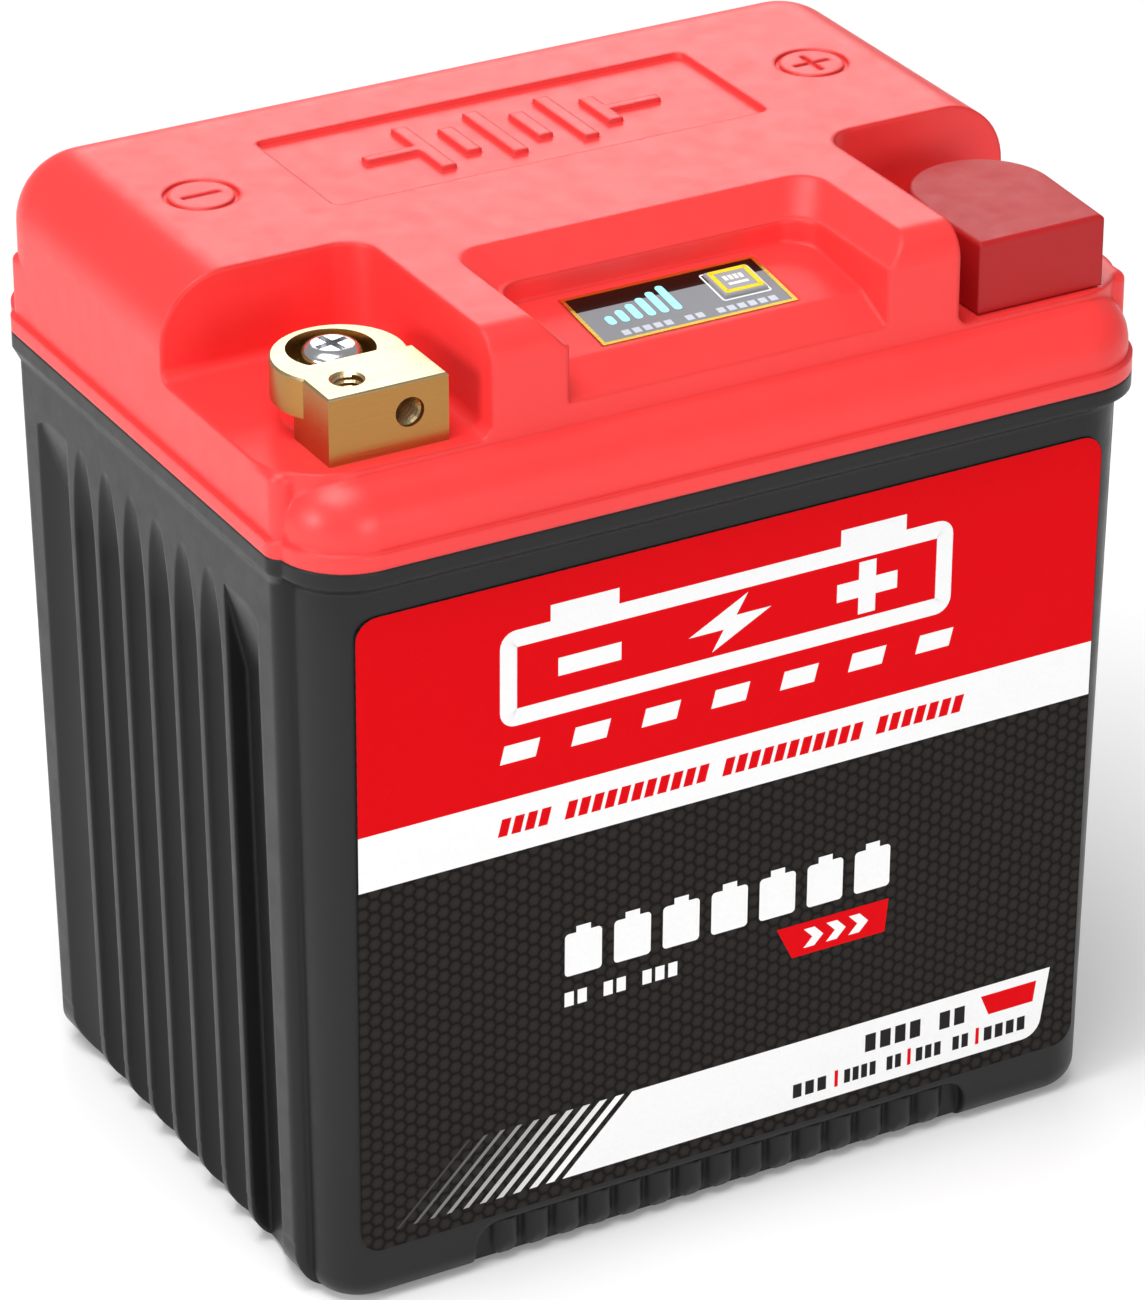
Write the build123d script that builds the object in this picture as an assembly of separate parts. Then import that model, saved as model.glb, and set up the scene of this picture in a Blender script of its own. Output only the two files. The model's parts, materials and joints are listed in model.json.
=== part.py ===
from build123d import *
import os
from math import atan2, degrees, pi, tan, radians

# ---------------------------------------------------------------------------
# A 12 V lithium motorcycle battery. Millimetres, +Z up.
# Origin: centre of the footprint, on the surface that the battery stands on.
# The label side faces -Y, the negative terminal is at -X, the positive at +X.
# ---------------------------------------------------------------------------

# --- driving dimensions ----------------------------------------------------
LENGTH = 166.0              # over the rim, X
DEPTH = 126.0               # over the rim, Y
HEIGHT = 177.0              # to the top of the cover
SPLIT_Z = 144.3             # joint face between case and cover
DRAFT = 0.77                # degrees, every case wall leans in towards the foot

# plan of the body: a side block and a longer front-and-back block, which
# leave a small step near each corner
SIDE_HALF_Y = 51.4          # the side faces end here
NOSE_HALF_X = 80.7          # half width of the front and back blocks
NOSE_CORNER = 12.0
SIDE_CORNER = 2.4
RIM_H = 3.0                 # height of the rim, once on the case and once on the cover
RIM_PROUD = 0.8             # the cover's rim stands out by this much

# case
CASE_TOP_X = 82.0           # half width of the case wall just under the rim
CASE_TOP_Y = 59.5           # half depth of the flat front just under the rim
CASE_NOSE_TOP_X = 79.4
FOOT_R = 5.0
SIDE_FOOT_R = 8.0
CAVITY_TOP = (152.8, 112.4)
CAVITY_FOOT = (148.4, 107.6)
CAVITY_R = 8.0
FLOOR_T = 3.0

# fluted panels on the two ends
FLUTE_R = 4.1
FLUTE_DEEP = 3.6
FLUTE_RUNOUT = 17.0         # height over which a flute comes out to the face
FLUTE_PITCH = 10.0
FLUTE_TOP_Z = 131.0
RIDGES = 7
PANEL_HALF_Y = 43.0
PANEL_CORNER = 9.0

# ribbed strip along the foot of the front and the back
FOOT_RIBS = 15
FOOT_PITCH = 6.2
FOOT_RIB_R = 3.2
FOOT_RIB_IN, FOOT_RIB_UP = 3.5, 3.9     # the ribs' round ends, from the face and the floor
FOOT_RECESS = (100.0, 9.6, 2.2)

# cover
WALL = 2.4
DOME_HALF_X = 82.2
DOME_FRONT_Y = -55.6
DOME_BACK_Y = 57.6
DOME_CORNER = 13.2
DOME_ROUND = 12.4
DOME_FRONT_ROUND = 5.6
NOSE_TOP_Z = 158.2
NOSE_ROUND = 9.0
SHELF_Z = 159.0             # floor of the two terminal recesses
RECESS_X = 44.6             # inner wall of a terminal recess
RECESS_Y = -10.0            # back wall of a terminal recess
RECESS_CORNER = 6.0
EDGE_SOFT = 1.4

# terminals (the positive one is the mirror image)
TAB_X, TAB_Y, TAB_R = 63.0, -37.4, 11.5
TAB_Z = (164.0, 171.0)
BLOCK_X = (50.9, 72.7)
BLOCK_Y = (-52.5, -40.0)
SCREW_X, SCREW_Y = 62.4, -33.6
SCREW_HEAD_R, SCREW_HEAD_H = 5.3, 4.6
POCKET_X, POCKET_Y, POCKET_R = 63.2, -34.9, 7.5
POCKET_FRONT_Y, POCKET_Z = -39.3, 166.6
FRONT_HOLE = (58.0, 165.6)  # x, z
TOP_HOLE = (66.3, -46.7)    # x, y
M6_BORE_R = 2.6
FRONT_HOLE_DEEP = 8.5
TOP_HOLE_DEEP = 7.0
INSERT_R = 5.8
BOSS_X, BOSS_Y, BOSS_R = 62.6, -34.9, 9.2
INSERT_Z0 = 149.0

# state-of-charge display
TILT = 8.0                  # degrees, the shelf leans towards the front
DISPLAY_W, DISPLAY_H = 37.4, 15.4
DISPLAY_Y, DISPLAY_Z = -38.6, 166.9     # centre of the display on the shelf
BUTTON_W, BUTTON_H = 8.2, 7.6
BUTTON_X, BUTTON_V = 11.6, 1.2          # place on the display, from its centre
BUTTON_TRAVEL = 0.4
BARS = 6
BAR_W, BAR_PITCH = 1.6, 2.5             # light bars that rise to the right
BAR_FIRST_U, BAR_FOOT_V = -13.75, -2.5
BAR_SHORT, BAR_RISE = 2.6, 1.04         # the first bar's length, and how much each next one adds
BOARD_DROP = 6.4            # depth of the display board's top under the shelf
BOSS_U = 23.6

# cells: four groups of three in series
CELL_R, CELL_L = 16.2, 70.5
CELL_PITCH = 33.4
CELL_Z0 = 10.0
HOLDER_H = 10.0
HOLDER_SIZE = (140.0, 103.6)
BUS_T = 0.5
BOARD_Z = 96.0
BOARD_SIZE = (112.0, 72.0, 1.6)

LOWER_HOLDER_Z = CELL_Z0 - 2.0
UPPER_HOLDER_Z = CELL_Z0 + CELL_L - HOLDER_H + 2.0
INSULATION_Z = UPPER_HOLDER_Z + HOLDER_H + 2.4      # rests on the heads of the tie screws
LEAD_R = 3.0
LUG_AXIS_Z = INSERT_Z0 - 3.8
LUG_Y = (-26.0, -19.0)      # length of the lug's barrel

CAP_WALL = 1.0
CAP_TAIL = 3.6              # the cap's round end lies this far behind the tab's
GAP = 0.3                   # air between pieces that move apart

os.makedirs("parts", exist_ok=True)


# --- small helpers -----------------------------------------------------------
def box(x, y, z):
    """A box from three (low, high) pairs."""
    size = [hi - lo for lo, hi in (x, y, z)]
    middle = [(hi + lo) / 2 for lo, hi in (x, y, z)]
    return Pos(*middle) * Box(*size)


def rod(x, y, z0, z1, radius):
    """An upright cylinder."""
    return Pos(x, y, (z0 + z1) / 2) * Cylinder(radius, z1 - z0)


def slab(width, depth, radius, z0, z1):
    """An upright block with rounded corners."""
    return Pos(0, 0, z0) * extrude(RectangleRounded(width, depth, radius), z1 - z0)


def tapered(foot, top, z0, z1):
    """A block between two rounded rectangles, each (width, depth, radius)."""
    return loft([Pos(0, 0, z0) * RectangleRounded(*foot), Pos(0, 0, z1) * RectangleRounded(*top)])


def mirrored(shape):
    return mirror(shape, Plane.YZ)


def edges_at(shape, axis, value, near=0.02):
    """Edges whose whole length lies at one value along an axis."""
    found = []
    for edge in shape.edges():
        low, high = edge.bounding_box().min, edge.bounding_box().max
        if abs(getattr(low, axis) - value) < near and abs(getattr(high, axis) - value) < near:
            found.append(edge)
    return found


def save(name, shape):
    export_step(shape, f"parts/{name}.step")


def lean(z_from_split):
    """How far a drafted wall has moved in, at a depth below the split."""
    return z_from_split * tan(radians(DRAFT))


# --- case ----------------------------------------------------------------------
def case_nose(inset):
    """The front-and-back block of the case, drafted, with a rounded foot."""
    top = (2 * (CASE_NOSE_TOP_X - inset), 2 * (CASE_TOP_Y - inset), 10.5)
    move = lean(SPLIT_Z)
    foot = (top[0] - 2 * move, top[1] - 2 * move, 9.0)
    body = tapered(foot, top, 0, SPLIT_Z)
    return fillet(edges_at(body, "Z", 0.0), FOOT_R)


def case_sides():
    """The block whose two end faces carry the flutes; its long foot edges are rounded."""
    move = lean(SPLIT_Z)
    top = (2 * CASE_TOP_X, 2 * (SIDE_HALF_Y - RIM_PROUD), SIDE_CORNER)
    foot = (top[0] - 2 * move, top[1] - 2 * move, 1.6)
    body = tapered(foot, top, 0, SPLIT_Z)
    lower = box((-foot[0] / 2, foot[0] / 2), (-SIDE_HALF_Y, SIDE_HALF_Y), (0, SIDE_FOOT_R + 2))
    lower = fillet([e for e in lower.edges().filter_by(Axis.Y) if e.center().Z < 1], SIDE_FOOT_R)
    upper = box((-LENGTH, LENGTH), (-DEPTH, DEPTH), (SIDE_FOOT_R + 2, SPLIT_Z + 1))
    return body & (lower + upper)


def rim(z0, z1, proud):
    """One rim ring, solid: the plan of the body, a little larger."""
    sides = slab(2 * (DOME_HALF_X + proud), 2 * (SIDE_HALF_Y + proud), SIDE_CORNER + proud, z0, z1)
    nose_y = DEPTH / 2 - RIM_PROUD + proud
    nose = slab(2 * (NOSE_HALF_X + proud), 2 * nose_y, NOSE_CORNER + proud, z0, z1)
    return sides + nose


def rim_chamfer():
    """The slope under the case rim, down to the walls."""
    z1, z0 = SPLIT_Z - RIM_H, SPLIT_Z - RIM_H - 2.6
    sides = tapered((2 * CASE_TOP_X - 0.4, 2 * SIDE_HALF_Y - 2.4, 2.0),
                    (2 * (DOME_HALF_X + RIM_PROUD), 2 * (SIDE_HALF_Y + RIM_PROUD), 3.2), z0, z1)
    nose = tapered((2 * CASE_NOSE_TOP_X - 0.4, 2 * CASE_TOP_Y - 0.4, 10.5),
                   (2 * (NOSE_HALF_X + RIM_PROUD), DEPTH, NOSE_CORNER + RIM_PROUD), z0, z1)
    return sides + nose


def flute_cutter():
    """Everything that is cut from one end face; the face is X = 0, outwards is +X."""
    centre_x = FLUTE_R - FLUTE_DEEP
    bend_z = FLUTE_TOP_Z - FLUTE_RUNOUT
    out = degrees(atan2(FLUTE_DEEP, FLUTE_RUNOUT))
    cutter = None
    for i in range(RIDGES - 1):
        y = (i - (RIDGES - 2) / 2) * FLUTE_PITCH
        flute = rod(centre_x, y, -2, bend_z, FLUTE_R)
        flute += Pos(centre_x, y, bend_z) * Rot(0, out, 0) * rod(0, 0, 0, 2 * FLUTE_RUNOUT, FLUTE_R)
        flute += Pos(centre_x, y, bend_z) * Sphere(FLUTE_R)
        cutter = flute if cutter is None else cutter + flute
    # the scoop beside the last ridge: deepest at the ridge, running out sideways and upwards
    start = (RIDGES - 1) / 2 * FLUTE_PITCH + 1.0
    run = PANEL_HALF_Y - start
    sweep_r = (run ** 2 + FLUTE_DEEP ** 2) / (2 * FLUTE_DEEP)
    slope = Polyline((-FLUTE_DEEP - 1, -2), (FLUTE_DEEP + 1, -2), (FLUTE_DEEP + 1, FLUTE_TOP_Z), (0, FLUTE_TOP_Z),
                     (-FLUTE_DEEP, bend_z), (-FLUTE_DEEP - 1, bend_z), close=True)
    for side in (1, -1):
        scoop = rod(sweep_r - FLUTE_DEEP, side * start, -2, FLUTE_TOP_Z, sweep_r)
        window = box((-FLUTE_DEEP - 1, 4), sorted((side * start, side * (PANEL_HALF_Y + 3))), (-2, FLUTE_TOP_Z))
        corner = [e for e in window.edges().filter_by(Axis.X)
                  if e.center().Z > 100 and abs(e.center().Y) > start + 1]
        scoop &= fillet(corner, PANEL_CORNER)
        cutter += scoop & extrude(Plane.XZ * make_face(slope), DEPTH, both=True)
    return cutter


def case_end_cut(side):
    """The flute cutter, laid on the drafted end face at -X or +X."""
    foot_x = CASE_TOP_X - lean(SPLIT_Z)
    cutter = Pos(foot_x, 0, 0) * Rot(0, DRAFT, 0) * flute_cutter()
    return cutter if side > 0 else mirrored(cutter)


def foot_strip(face_y):
    """Cutter for the ribbed strip at the foot of the front, and the ribs that stay."""
    width, height, deep = FOOT_RECESS
    window = box((-width / 2, width / 2), (face_y - 3, face_y + deep), (-1, height))
    corners = [e for e in window.edges().filter_by(Axis.Y) if e.center().Z > 1]
    window = fillet(corners, 4.5)
    window += box((-width / 2, width / 2), (face_y - 1, face_y + 9), (-1, 1.3))
    inside = case_nose(0.35)
    ribs = []
    y = face_y + FOOT_RIB_IN
    upright = rod(0, y, FOOT_RIB_UP, height - 0.6, FOOT_RIB_R)
    knuckle = Pos(0, y, FOOT_RIB_UP) * Sphere(FOOT_RIB_R)
    under = Pos(0, y + 3, FOOT_RIB_UP) * Rot(90, 0, 0) * Cylinder(FOOT_RIB_R, 6)
    rib = (upright + knuckle + under) & inside
    for i in range(FOOT_RIBS):
        ribs.append(Pos((i - (FOOT_RIBS - 1) / 2) * FOOT_PITCH, 0, 0) * rib)
    return window, ribs


def make_case():
    body = case_nose(0) + case_sides() + rim(SPLIT_Z - RIM_H, SPLIT_Z, RIM_PROUD) + rim_chamfer()
    for side in (-1, 1):
        body -= case_end_cut(side)
    face_y = -(CASE_TOP_Y - lean(SPLIT_Z))
    window, ribs = foot_strip(face_y)
    body -= [window, mirror(window, Plane.XZ)]
    body += ribs + [mirror(rib, Plane.XZ) for rib in ribs]
    body -= tapered((*CAVITY_FOOT, CAVITY_R), (*CAVITY_TOP, CAVITY_R), FLOOR_T, SPLIT_Z + 0.01)
    body -= gasket_ring()
    return body


def gasket_ring():
    """The sealing cord's groove, in the top of the case wall."""
    outer = slab(159.4, 117.4, 9.5, SPLIT_Z - 1.0, SPLIT_Z)
    inner = slab(157.0, 115.0, 8.3, SPLIT_Z - 1.0, SPLIT_Z)
    return outer - inner


# --- cover -----------------------------------------------------------------------
def terminal_recess(inset):
    """The open corner that one terminal stands in, at -X; inset thickens it for the inside."""
    floor = SHELF_Z - inset
    cut = box((-LENGTH, -RECESS_X + inset), (-DEPTH, RECESS_Y + inset), (floor, HEIGHT + 20))
    corner = [e for e in cut.edges().filter_by(Axis.Z) if e.center().X > -60 and e.center().Y > -20]
    cut = fillet(corner, RECESS_CORNER - 0.5 * inset)
    if inset == 0:
        low = [e for e in edges_at(cut, "Z", floor) if e.center().Y > -DEPTH + 1 and e.center().X > -LENGTH + 1]
        cut = fillet(low, 2.2)
    return cut


def display_recess(inset):
    """The stepped hollow around the display: a sloping band, a low wall, then the shelf."""
    grow = inset
    back_top, back_low = -22.6 + grow, -28.6 + grow
    wide_top, wide_low = 2 * (35.2 + grow), 2 * (31.0 + grow)
    front = -DEPTH

    def outline(width, back, z):
        return Pos(0, (front + back) / 2, z) * RectangleRounded(width, back - front, 5.5)

    band = loft([outline(wide_low, back_low, HEIGHT - 4.6), outline(wide_top, back_top, HEIGHT + 0.02)])
    band += extrude(outline(wide_top, back_top, HEIGHT + 0.02), 12)
    well = extrude(outline(wide_low - 1.2, back_low - 0.6, HEIGHT - 30), 25.6)
    return band + well & above_shelf(inset)


def above_shelf(inset):
    """Half-space block above the display shelf and its sloping front lip."""
    slope = tan(radians(TILT))
    y_back, y_lip, y_edge = -20.0, -47.6, DOME_FRONT_Y - 4
    z_lip = DISPLAY_Z + (y_lip - DISPLAY_Y) * slope
    z_back = DISPLAY_Z + (y_back - DISPLAY_Y) * slope
    z_edge = z_lip + (y_edge - y_lip) * tan(radians(24))
    drop = inset
    outline = Polyline((y_back, z_back - drop), (y_lip, z_lip - drop), (y_edge, z_edge - drop),
                       (-DEPTH - 5, z_edge - drop), (-DEPTH - 5, HEIGHT + 30), (y_back, HEIGHT + 30), close=True)
    return extrude(Plane.YZ * make_face(outline), LENGTH / 2, both=True)


def cover_form(inset):
    """The closed outer form of the cover, or with an inset the space under it."""
    z0 = SPLIT_Z - (0.01 if inset else 0.0)
    nose = slab(2 * (NOSE_HALF_X - inset), DEPTH - 2 * RIM_PROUD - 2 * inset, NOSE_CORNER - inset,
                z0, NOSE_TOP_Z - inset)
    nose = fillet(edges_at(nose, "Z", NOSE_TOP_Z - inset), NOSE_ROUND - inset)
    # the dome: broad rounds on its sides and back, a tighter one along its front
    front, back = DOME_FRONT_Y + inset, DOME_BACK_Y - inset
    far = front - 2 * DOME_CORNER
    width, corner = 2 * (DOME_HALF_X - inset), DOME_CORNER - inset
    dome = Pos(0, (far + back) / 2, z0) * extrude(RectangleRounded(width, back - far, corner), HEIGHT - inset - z0)
    dome = fillet(edges_at(dome, "Z", HEIGHT - inset), DOME_ROUND - inset)
    keep = Pos(0, (front + back) / 2, z0) * extrude(RectangleRounded(width, back - front, corner), HEIGHT - inset - z0)
    edge = [e for e in edges_at(keep, "Y", front) if e.center().Z > HEIGHT - inset - 1]
    dome &= fillet(edge, DOME_FRONT_ROUND - inset)
    form = nose + dome
    if inset == 0:
        sides = slab(2 * DOME_HALF_X, 2 * SIDE_HALF_Y, SIDE_CORNER, z0, SHELF_Z)
        form += fillet(edges_at(sides, "Z", SHELF_Z), 1.6)
    return form


def recesses(inset):
    """The three hollows in the top of the cover."""
    left = terminal_recess(inset)
    return left + mirrored(left) + display_recess(inset)


def sign(x, plus):
    """A sunk polarity sign in a ring of its own, cut 0.6 mm deep."""
    z0, z1 = HEIGHT - 0.6, HEIGHT + 1
    ring = rod(x, 18.8, z0, z1, 6.6) - rod(x, 18.8, z0 - 1, z1 + 1, 5.7)
    bar = box((x - 3.6, x + 3.6), (18.3, 19.3), (z0, z1))
    mark = ring + bar
    if plus:
        mark += box((x - 0.5, x + 0.5), (15.2, 22.4), (z0, z1))
    return mark


def top_emblem():
    """Raised generic mark inside the sunk panel: a cell symbol of long and short bars."""
    z0, z1 = HEIGHT - 1.2, HEIGHT - 0.1
    marks = []
    for i in range(6):
        half = 9.5 if i % 2 == 0 else 5.5
        x = (i - 2.5) * 7.0
        marks.append(box((x - 1.4, x + 1.4), (19.2 - half, 19.2 + half), (z0, z1)))
    for side in (-1, 1):
        marks.append(box(sorted((side * 17.0, side * 29.0)), (18.2, 20.2), (z0, z1)))
    return marks


def make_cover():
    form = cover_form(0) - recesses(0)
    rim_ring = rim(SPLIT_Z, SPLIT_Z + RIM_H, RIM_PROUD) - rim(SPLIT_Z - 1, SPLIT_Z + RIM_H + 1, -1.0)
    form += rim_ring
    inside = cover_form(WALL) - recesses(WALL)
    body = form - inside
    # inner ledge and the tongue that drops into the case
    ledge = slab(2 * NOSE_HALF_X - 2, DEPTH - 4, NOSE_CORNER - 1, SPLIT_Z, SPLIT_Z + 2)
    tongue = slab(CAVITY_TOP[0] - 0.5, CAVITY_TOP[1] - 0.5, CAVITY_R - 0.2, SPLIT_Z - 3, SPLIT_Z)
    hole = slab(CAVITY_TOP[0] - 3.6, CAVITY_TOP[1] - 3.6, CAVITY_R - 1.6, SPLIT_Z - 4, SPLIT_Z + 3)
    body += (ledge + tongue) - hole
    # bosses: under each terminal tab, below the floor round each insert, and for the display board
    for side in (-1, 1):
        body += rod(side * BOSS_X, BOSS_Y, SHELF_Z - 1, TAB_Z[0], BOSS_R)
        body += rod(side * SCREW_X, SCREW_Y, INSERT_Z0, SHELF_Z - 1, INSERT_R + 2.5)
        body -= rod(side * SCREW_X, SCREW_Y, INSERT_Z0 - 1, TAB_Z[0] + 1, INSERT_R)
        body -= seal_groove(side)
    body -= display_window_cut()
    for x in (-BOSS_U, BOSS_U):
        body += on_shelf(x, 0, (BOARD_DROP + WALL - 0.6) / 2) * Cylinder(2.6, BOARD_DROP - WALL + 0.6)
        body -= on_shelf(x, 0, BOARD_DROP) * Cylinder(1.0, 6.0)
    # sunk panel, its raised mark and the polarity signs
    panel = slab(85.0, 31.0, 1.5, HEIGHT - 0.9, HEIGHT + 1)
    body -= Pos(0, 19.2, 0) * panel
    body += top_emblem()
    body -= [sign(-60.3, False), sign(60.3, True)]
    return body


def on_shelf(u, v, below):
    """Place on the tilted display shelf: across, up the slope, and depth under its surface."""
    return Pos(0, DISPLAY_Y, DISPLAY_Z) * Rot(TILT, 0, 0) * Pos(u, v, -below)


def display_window_cut():
    """A shallow seat for the window and bezel, and the opening through the shelf."""
    seat = on_shelf(0, 0, 0.6) * Box(DISPLAY_W + 0.2, DISPLAY_H + 0.2, 1.2)
    opening = on_shelf(0, 0, 2.0) * Box(DISPLAY_W - 3, DISPLAY_H - 3, 8)
    return seat + opening


def make_insert(side):
    """A knurled brass bush with a flange, moulded into the cover under a terminal."""
    bush = rod(0, 0, INSERT_Z0, TAB_Z[0], INSERT_R)
    for z in (152.0, 156.0, 160.0):
        bush -= rod(0, 0, z, z + 1.2, INSERT_R + 1) - rod(0, 0, z - 1, z + 3, INSERT_R - 0.6)
    bush -= rod(0, 0, TAB_Z[0] - 11, TAB_Z[0] + 1, 2.5)
    bush -= rod(0, 0, INSERT_Z0 - 1, INSERT_Z0 + 3, 2.5)
    return Pos(side * SCREW_X, SCREW_Y, 0) * bush


# --- terminals -------------------------------------------------------------------
def make_terminal(side):
    """Brass terminal: a square clamp block with a round tab that a screw holds down."""
    body = rod(TAB_X, TAB_Y, *TAB_Z, TAB_R)
    body += box(BLOCK_X, BLOCK_Y, (SHELF_Z, TAB_Z[1]))
    body -= rod(BOSS_X, BOSS_Y, SHELF_Z - 1, TAB_Z[0], BOSS_R + 0.15)
    body = chamfer(edges_at(body, "Z", TAB_Z[1]), 0.35)
    pocket = rod(POCKET_X, POCKET_Y, POCKET_Z, TAB_Z[1] + 1, POCKET_R)
    pocket &= box((0, LENGTH), (POCKET_FRONT_Y, 0), (0, HEIGHT))
    body -= pocket
    body -= rod(SCREW_X, SCREW_Y, TAB_Z[0] - 1, HEIGHT, 3.3)
    front_x, front_z = FRONT_HOLE
    body -= Pos(front_x, BLOCK_Y[0] + FRONT_HOLE_DEEP / 2, front_z) * Rot(90, 0, 0) * Cylinder(
        M6_BORE_R, FRONT_HOLE_DEEP)
    body -= Pos(front_x, BLOCK_Y[0] + 0.35, front_z) * Rot(90, 0, 0) * Cone(M6_BORE_R + 0.7, M6_BORE_R, 0.7)
    top_x, top_y = TOP_HOLE
    body -= rod(top_x, top_y, TAB_Z[1] - TOP_HOLE_DEEP, TAB_Z[1] + 1, M6_BORE_R)
    body -= Pos(top_x, top_y, TAB_Z[1] - 0.2) * Cone(M6_BORE_R, M6_BORE_R + 0.4, 0.4)
    return body if side > 0 else mirrored(body)


def make_terminal_screw(side):
    """M6 pan-head screw with a cross recess."""
    top = POCKET_Z + SCREW_HEAD_H
    head = rod(0, 0, POCKET_Z, top, SCREW_HEAD_R)
    head = fillet(edges_at(head, "Z", top), 2.4)
    for angle in (0, 90):
        head -= Rot(0, 0, angle + 12) * Pos(0, 0, top - 0.4) * Box(6.2, 1.3, 2.6)
    shank = rod(0, 0, TAB_Z[0] - 9.5, POCKET_Z, 2.5)
    return Pos(side * SCREW_X, SCREW_Y, 0) * (head + shank)


def make_terminal_seal(side):
    """O-ring in a groove round the insert, squeezed under the tab."""
    return Pos(side * SCREW_X, SCREW_Y, TAB_Z[0] - 0.6) * Torus(INSERT_R + 1.2, 0.6)


def seal_groove(side):
    ring = rod(0, 0, TAB_Z[0] - 1.2, TAB_Z[0] + 1, INSERT_R + 1.8)
    ring -= rod(0, 0, TAB_Z[0] - 2, TAB_Z[0] + 2, INSERT_R + 0.6)
    return Pos(side * SCREW_X, SCREW_Y, 0) * ring


def cap_form(grow, top):
    """The plan of the positive terminal with its rounded tail, a little larger."""
    foot = SHELF_Z + GAP
    tail = Pos(TAB_X, TAB_Y + CAP_TAIL) * Circle(TAB_R + grow)
    x0, x1 = BLOCK_X[0] - grow, BLOCK_X[1] + grow + 0.6
    y0, y1 = BLOCK_Y[0] - grow, BLOCK_Y[1]
    block = Pos((x0 + x1) / 2, (y0 + y1) / 2) * Rectangle(x1 - x0, y1 - y0)
    plan = make_hull(tail.edges() + block.edges())
    return Pos(0, 0, foot) * extrude(plan, top - foot)


def make_positive_cap():
    """Soft cap that covers the positive terminal and pulls off upwards."""
    top = TAB_Z[1] + GAP + CAP_WALL
    outer = cap_form(GAP + CAP_WALL, top)
    outer = fillet(edges_at(outer, "Z", top), 0.8)
    inner = cap_form(GAP, top - CAP_WALL)
    inner += rod(TAB_X, TAB_Y, SHELF_Z, top - CAP_WALL, TAB_R + GAP)
    outer += rod(TAB_X, TAB_Y, SHELF_Z + GAP, top - 1.0, TAB_R + GAP + CAP_WALL)
    return outer - inner


# --- display and test button -------------------------------------------------------
def button_place(below=0.0):
    return on_shelf(BUTTON_X, BUTTON_V, below)


def make_display_window():
    """Clear front plate with the opening that the button comes through."""
    plate = on_shelf(0, 0, 0.5) * Box(DISPLAY_W - 1.4, DISPLAY_H - 1.4, 1.0)
    return plate - button_place(0.5) * Box(BUTTON_W + 2 * GAP, BUTTON_H + 2 * GAP, 3)


def make_display_bezel():
    """Thin gilt frame round the window."""
    frame = on_shelf(0, 0, 0.5) * Box(DISPLAY_W, DISPLAY_H, 1.2)
    return frame - on_shelf(0, 0, 0.5) * Box(DISPLAY_W - 1.4, DISPLAY_H - 1.4, 3)


def make_display_board():
    board = on_shelf(0, 0, BOARD_DROP + 0.8) * Box(54.0, 14.0, 1.6)
    for x in (-BOSS_U, BOSS_U):
        board -= on_shelf(x, 0, BOARD_DROP + 0.8) * Cylinder(1.3, 4)
    return board


def make_light_guides():
    """Six light guides of rising height, standing on the board behind the window."""
    guides = []
    for i in range(BARS):
        tall = BAR_SHORT + i * BAR_RISE
        place = on_shelf(BAR_FIRST_U + i * BAR_PITCH, BAR_FOOT_V + tall / 2, (BOARD_DROP + 1.2) / 2)
        guides.append(place * Box(BAR_W, tall, BOARD_DROP - 1.2))
    return Compound(children=guides)


def make_tact_switch():
    """Push switch on the board; its plunger nearly reaches the button's stem."""
    body_h, plunger_h = 1.8, 1.1
    body = button_place(BOARD_DROP - body_h / 2) * Box(5.6, 5.0, body_h)
    return body + button_place(BOARD_DROP - body_h - plunger_h / 2) * Cylinder(1.5, plunger_h)


def make_test_button():
    """Square button: a cap in the window and a stem down to the switch."""
    cap = button_place(0.0) * Box(BUTTON_W, BUTTON_H, 1.6)
    cap = fillet(cap.faces().sort_by(Axis.Z)[-1].edges(), 0.35)
    flange = button_place(1.75) * Box(BUTTON_W + 1.6, BUTTON_H + 1.0, 0.7)
    flange &= on_shelf(0, 0, 1.75) * Box(DISPLAY_W - 3.4, DISPLAY_H - 3.4, 0.7)
    neck = button_place(1.1) * Box(BUTTON_W - 0.6, BUTTON_H - 0.6, 1.2)
    stem = button_place(2.4) * Cylinder(1.4, 1.2)
    return cap + neck + flange + stem


def make_display_screws():
    screws = []
    for x in (-BOSS_U, BOSS_U):
        head = on_shelf(x, 0, BOARD_DROP + 2.2) * Cylinder(2.0, 1.2)
        shank = on_shelf(x, 0, BOARD_DROP - 0.2) * Cylinder(1.0, 4.0)
        screws.append(head + shank)
    return Compound(children=screws)


# --- cells, holders and busbars ------------------------------------------------------
def cell_places():
    """(group, row, x, y) of the twelve cells; a group is three cells in parallel."""
    for group in range(4):
        for row in range(3):
            yield group, row, (group - 1.5) * CELL_PITCH, (row - 1) * CELL_PITCH


def make_cell(x, y, up):
    """One cylindrical cell: a can with a rolled shoulder and a raised pole."""
    can = rod(0, 0, 0, CELL_L - 1.0, CELL_R)
    can = fillet(can.edges(), 1.2)
    pole = rod(0, 0, CELL_L - 1.5, CELL_L, 6.0)
    cell = can + pole
    if up:
        return Pos(x, y, CELL_Z0) * cell
    return Pos(x, y, CELL_Z0 + CELL_L) * Rot(180, 0, 0) * cell


def make_holder(z0, open_up):
    """Tray with a socket for each cell and a smaller hole for its contact."""
    width, depth = HOLDER_SIZE
    tray = slab(width, depth, 6.0, z0, z0 + HOLDER_H)
    skin = 2.0
    socket_z = (z0 + skin, z0 + HOLDER_H + 1) if open_up else (z0 - 1, z0 + HOLDER_H - skin)
    cuts = []
    for _, _, x, y in cell_places():
        cuts.append(rod(x, y, *socket_z, CELL_R + 0.1))
        cuts.append(rod(x, y, z0 - 1, z0 + HOLDER_H + 1, 9.0))
    for x, y in tie_places():
        cuts.append(rod(x, y, z0 - 1, z0 + HOLDER_H + 1, 2.1))
    return tray - cuts


def tie_places():
    return [(x * CELL_PITCH, y * CELL_PITCH / 2) for x in (-1, 1) for y in (-1, 1)]


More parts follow.
